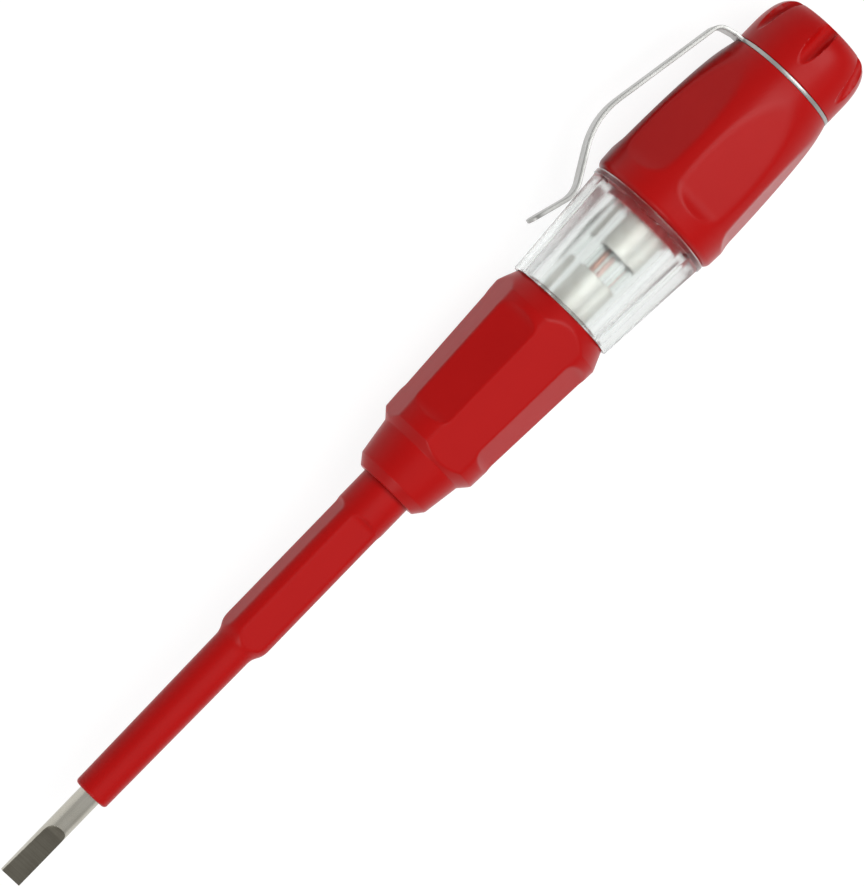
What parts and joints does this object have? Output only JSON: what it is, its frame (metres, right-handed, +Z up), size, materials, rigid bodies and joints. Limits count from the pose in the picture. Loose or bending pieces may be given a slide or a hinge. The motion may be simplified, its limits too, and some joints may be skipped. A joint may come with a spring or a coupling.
{
  "type": "voltage tester screwdriver",
  "caption": "Pocket voltage tester with an insulated screwdriver blade, faceted grips, a clear lamp window, a screw cap and a steel pocket clip.",
  "frame": {"origin": "centre of the blade's end face, at the tip", "axes": "+X runs along the tool's axis and out of the tip; +Z is up, square to one flat of the blade, of the sleeve and of the front handle; the clip is on the -Y side, a little below the level of the axis"},
  "size_m": [0.1415, 0.0227, 0.0184],
  "materials": {
    "red_plastic": "smooth injection-moulded red cellulose plastic",
    "clear_plastic": "clear polished plastic",
    "nickel_plate": "nickel-plated steel, ground dark on the wedge",
    "spring_steel": "bright plated spring steel",
    "brass": "plain turned or pressed brass",
    "lamp_glass": "clear lamp glass",
    "electrode_metal": "copper-coated iron wire",
    "resistor_rod": "lacquered resistor rod"
  },
  "bodies": {
    "handle": {"blade": "nickel_plate", "blade_sleeve": "red_plastic", "front_handle": "red_plastic", "window_tube": "clear_plastic", "rear_handle": "red_plastic", "contact_spring": "spring_steel", "lamp_glass": "lamp_glass", "lamp_front_cap": "brass", "lamp_rear_cap": "brass", "lamp_front_electrode": "electrode_metal", "lamp_rear_electrode": "electrode_metal", "resistor_body": "resistor_rod", "resistor_front_cap": "brass", "resistor_rear_cap": "brass"},
    "spring_cup": {"spring_cup": "brass"},
    "end_cap": {"end_cap": "red_plastic", "contact_stud": "brass"},
    "clip_ring": {"clip_ring": "spring_steel"},
    "clip_arm": {"clip_arm": "spring_steel"}
  },
  "joints": [
    {"name": "cap_draw", "type": "slide", "parent": "handle", "child": "spring_cup", "axis": [-1, 0, 0], "range_m": [0, 0.007], "deforming": ["contact_spring"]},
    {"name": "cap_turn", "type": "hinge", "parent": "spring_cup", "child": "end_cap", "pos_m": [-0.14145, 0, 0], "axis": [-1, 0, 0], "range_deg": [0, 2520]},
    {"name": "clip_swivel", "type": "hinge", "parent": "handle", "child": "clip_ring", "pos_m": [-0.13325, 0, 0], "axis": [1, 0, 0], "continuous": true},
    {"name": "clip_flex", "type": "hinge", "parent": "clip_ring", "child": "clip_arm", "pos_m": [-0.13042, -0.01065, -0.00285], "axis": [0, 0.2588, -0.9659], "range_deg": [0, 8], "stiffness_Nm_per_rad": 1}
  ],
  "couplings": [
    {"joint": "cap_turn", "follows": "cap_draw", "rad_per_m": 6283.2}
  ]
}
